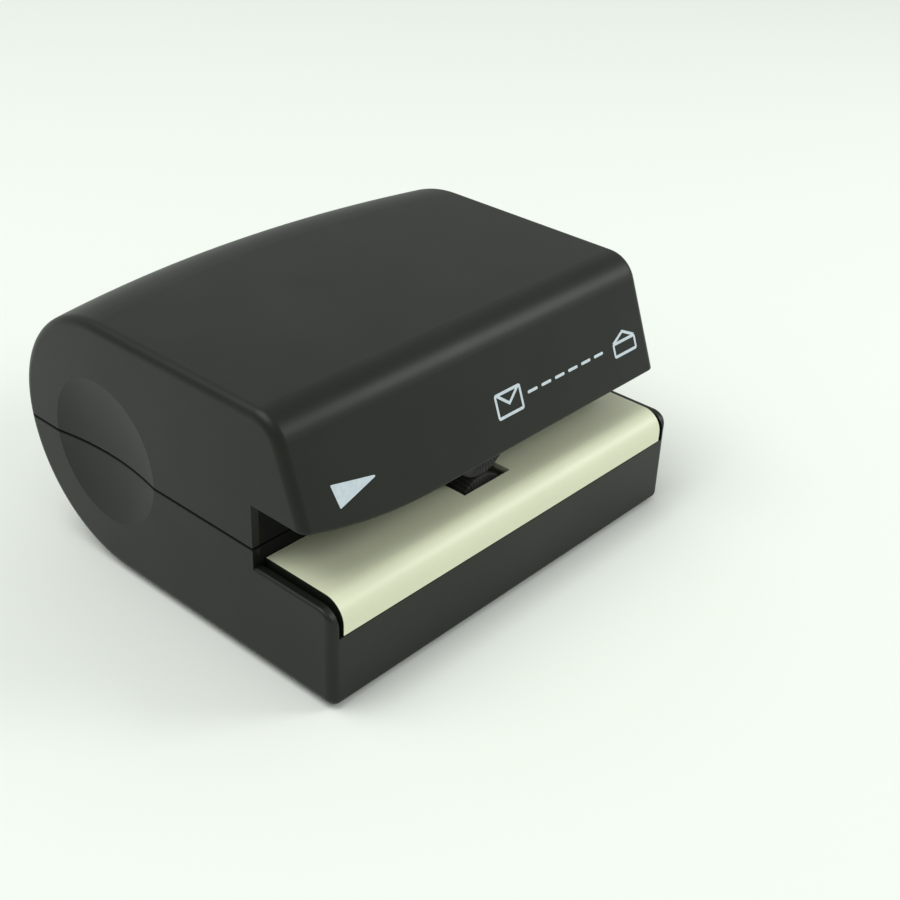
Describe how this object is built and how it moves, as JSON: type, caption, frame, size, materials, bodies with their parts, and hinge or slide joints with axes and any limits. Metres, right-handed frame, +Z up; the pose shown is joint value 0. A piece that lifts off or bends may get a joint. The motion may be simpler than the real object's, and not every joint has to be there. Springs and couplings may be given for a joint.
{
  "type": "electric letter opener",
  "caption": "Desktop electric letter opener: rounded two-part housing with a side throat, powered feed rollers and round knives, a pull-out chip tray and a battery door underneath.",
  "frame": {"origin": "bottom centre of the whole machine, on the surface it stands on", "axes": "+X along the feed direction from entry to exit, +Y from the front towards the rounded back, +Z up"},
  "size_m": [0.135, 0.1264, 0.073],
  "materials": {
    "black_plastic": "fine satin texture",
    "inner_plastic": "matte",
    "ivory_plastic": "satin",
    "lever_plastic": "satin",
    "gear_nylon": "satin",
    "switch_plastic": "gloss",
    "plunger_plastic": "gloss",
    "rubber": "matte",
    "steel": "brushed",
    "knife_steel": "ground",
    "screw_steel": "plated",
    "brass": "satin",
    "spring_metal": "plated",
    "armature_iron": "lacquered windings",
    "cell_jacket": "gloss"
  },
  "bodies": {
    "housing": {"lower_housing": "black_plastic", "upper_housing": "black_plastic", "upper_guide": "inner_plastic", "guide_screws": "screw_steel", "lever_pin": "steel", "switch_body": "switch_plastic", "switch_tags": "brass", "switch_screws": "screw_steel", "idler_axle": "steel", "motor_can": "steel", "motor_cap": "inner_plastic", "motor_tags": "brass", "motor_screws": "screw_steel", "front_plate": "steel", "rear_plate": "steel", "plate_spacers": "steel", "spacer_screws": "screw_steel", "shaft_bushes": "brass", "flange_screws": "screw_steel", "battery_tub": "inner_plastic", "tub_screws": "screw_steel", "cell_front_left": "cell_jacket", "cell_front_right": "cell_jacket", "cell_rear_left": "cell_jacket", "cell_rear_right": "cell_jacket", "contact_bridge": "spring_metal", "contact_front": "spring_metal", "contact_rear": "spring_metal", "housing_screws": "screw_steel", "rubber_feet": "rubber"},
    "rotor": {"motor_shaft": "steel", "motor_armature": "armature_iron", "motor_pinion": "brass"},
    "idler": {"idler_gear": "gear_nylon"},
    "lower_feed": {"lower_shaft": "steel", "lower_shaft_clip": "steel", "lower_roller_core": "inner_plastic", "lower_roller_tyre": "rubber", "lower_knife": "knife_steel", "lower_knife_collar": "gear_nylon", "lower_gear": "gear_nylon"},
    "upper_feed": {"upper_shaft": "steel", "upper_shaft_clip": "steel", "upper_roller_core": "inner_plastic", "upper_roller_tyre": "rubber", "upper_knife": "knife_steel", "upper_knife_collar": "gear_nylon", "upper_gear": "gear_nylon"},
    "lever": {"sensor_lever": "lever_plastic"},
    "plunger": {"switch_plunger": "plunger_plastic"},
    "tray": {"chip_tray": "ivory_plastic"},
    "door": {"battery_door": "black_plastic"}
  },
  "joints": [
    {"name": "motor_spin", "type": "hinge", "parent": "housing", "child": "rotor", "pos_m": [0.02615, -0.01825, 0.03667], "axis": [0, 1, 0], "continuous": true},
    {"name": "idler_spin", "type": "hinge", "parent": "housing", "child": "idler", "pos_m": [0.01387, -0.02525, 0.02807], "axis": [0, 1, 0], "continuous": true},
    {"name": "lower_feed_spin", "type": "hinge", "parent": "housing", "child": "lower_feed", "pos_m": [0, -0.02525, 0.0216], "axis": [0, 1, 0], "continuous": true},
    {"name": "upper_feed_spin", "type": "hinge", "parent": "housing", "child": "upper_feed", "pos_m": [0, -0.02525, 0.042], "axis": [0, 1, 0], "continuous": true},
    {"name": "lever_swing", "type": "hinge", "parent": "housing", "child": "lever", "pos_m": [-0.024, -0.04475, 0.049], "axis": [0, -1, 0], "range_deg": [0, 28], "stiffness_Nm_per_rad": 0.003, "springref_deg": -17.19},
    {"name": "plunger_press", "type": "slide", "parent": "housing", "child": "plunger", "axis": [-1, 0, 0], "range_m": [0, 0.00171]},
    {"name": "tray_slide", "type": "slide", "parent": "housing", "child": "tray", "axis": [0, -1, 0], "range_m": [0, 0.024]},
    {"name": "door_hinge", "type": "hinge", "parent": "housing", "child": "door", "pos_m": [0, -0.01005, 0.0026], "axis": [-1, 0, 0], "range_deg": [0, 95]}
  ],
  "couplings": [
    {"joint": "idler_spin", "follows": "motor_spin", "ratio": -0.25},
    {"joint": "lower_feed_spin", "follows": "motor_spin", "ratio": 0.125},
    {"joint": "upper_feed_spin", "follows": "motor_spin", "ratio": -0.125},
    {"joint": "plunger_press", "follows": "lever_swing", "m_per_rad": 0.0035}
  ]
}
